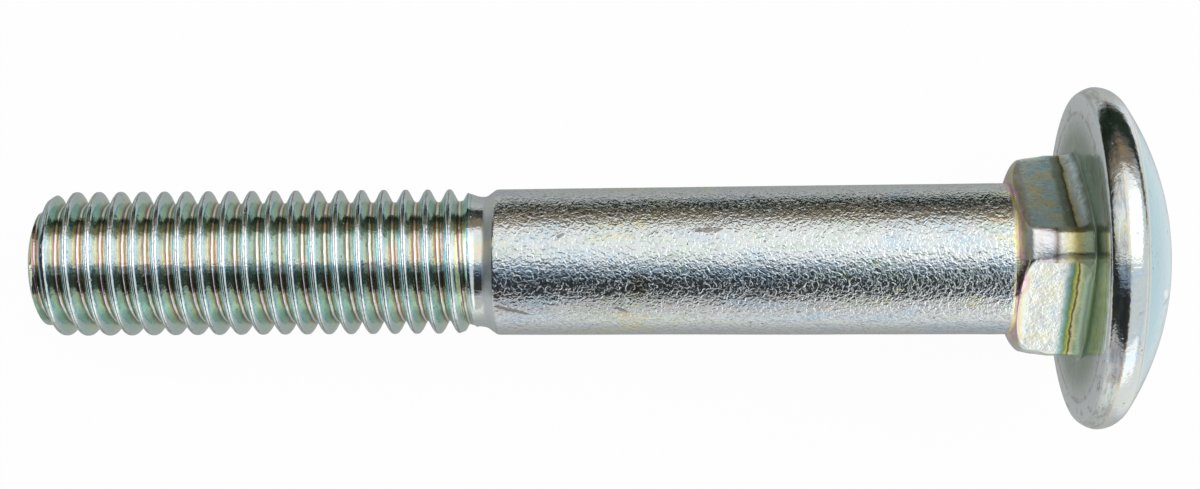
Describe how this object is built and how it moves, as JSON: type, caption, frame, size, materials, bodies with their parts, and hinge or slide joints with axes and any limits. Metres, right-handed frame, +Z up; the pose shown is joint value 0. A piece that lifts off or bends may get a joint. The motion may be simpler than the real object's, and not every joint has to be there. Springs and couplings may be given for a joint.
{
  "type": "carriage bolt",
  "caption": "Steel bolt with a low domed head, a square neck under it, a plain round shank and a rolled thread, lying on its side.",
  "frame": {"origin": "on the surface the bolt lies on, under the middle of its bounding box", "axes": "+Z up, +X towards the domed head, with the bolt's own axis in the plane Y = 0, climbing 5.45 degrees towards the head"},
  "size_m": [0.0764, 0.023, 0.023],
  "materials": {
    "plated_steel": "bright zinc plating with a faint blue, green, yellow and pink passivation tint, finely dimpled on the shank"
  },
  "bodies": {
    "root": {"carriage_bolt": "plated_steel"}
  },
  "joints": []
}
